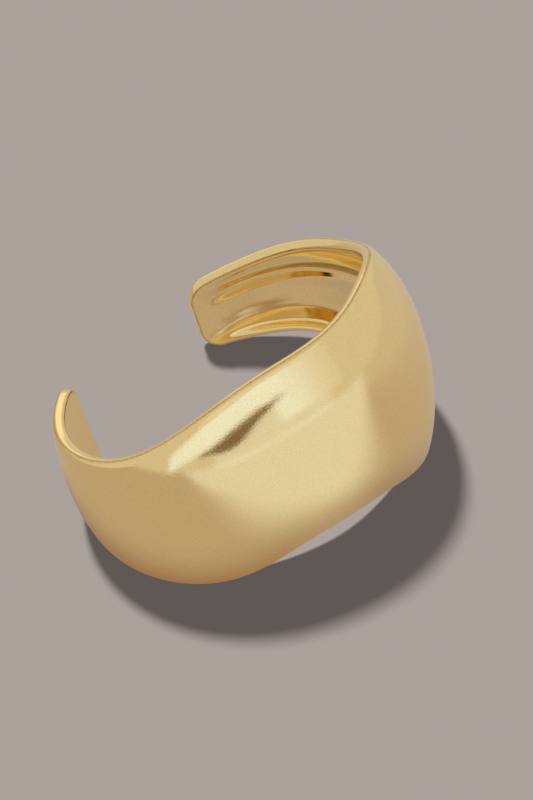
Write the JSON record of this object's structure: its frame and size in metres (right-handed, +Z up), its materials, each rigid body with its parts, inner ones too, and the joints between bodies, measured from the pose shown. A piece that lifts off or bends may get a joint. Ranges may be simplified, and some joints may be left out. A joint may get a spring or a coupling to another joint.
{
  "type": "cuff bracelet",
  "caption": "Open sculpted cuff bracelet, broad and domed across the front, narrowing to rounded ends, dished inside with a ledge at its foot, lying on its side.",
  "frame": {"origin": "on the surface the cuff lies on, under the middle of its box", "axes": "+Z up through the hollow for the wrist, +Y towards the gap between the ends, -Y towards the broad front, +X towards the narrower end"},
  "size_m": [0.0684, 0.0564, 0.0402],
  "materials": {
    "gold_plate": "gold plated over cast brass, satin outside and polished inside"
  },
  "bodies": {
    "root": {"cuff": "gold_plate"}
  },
  "joints": []
}
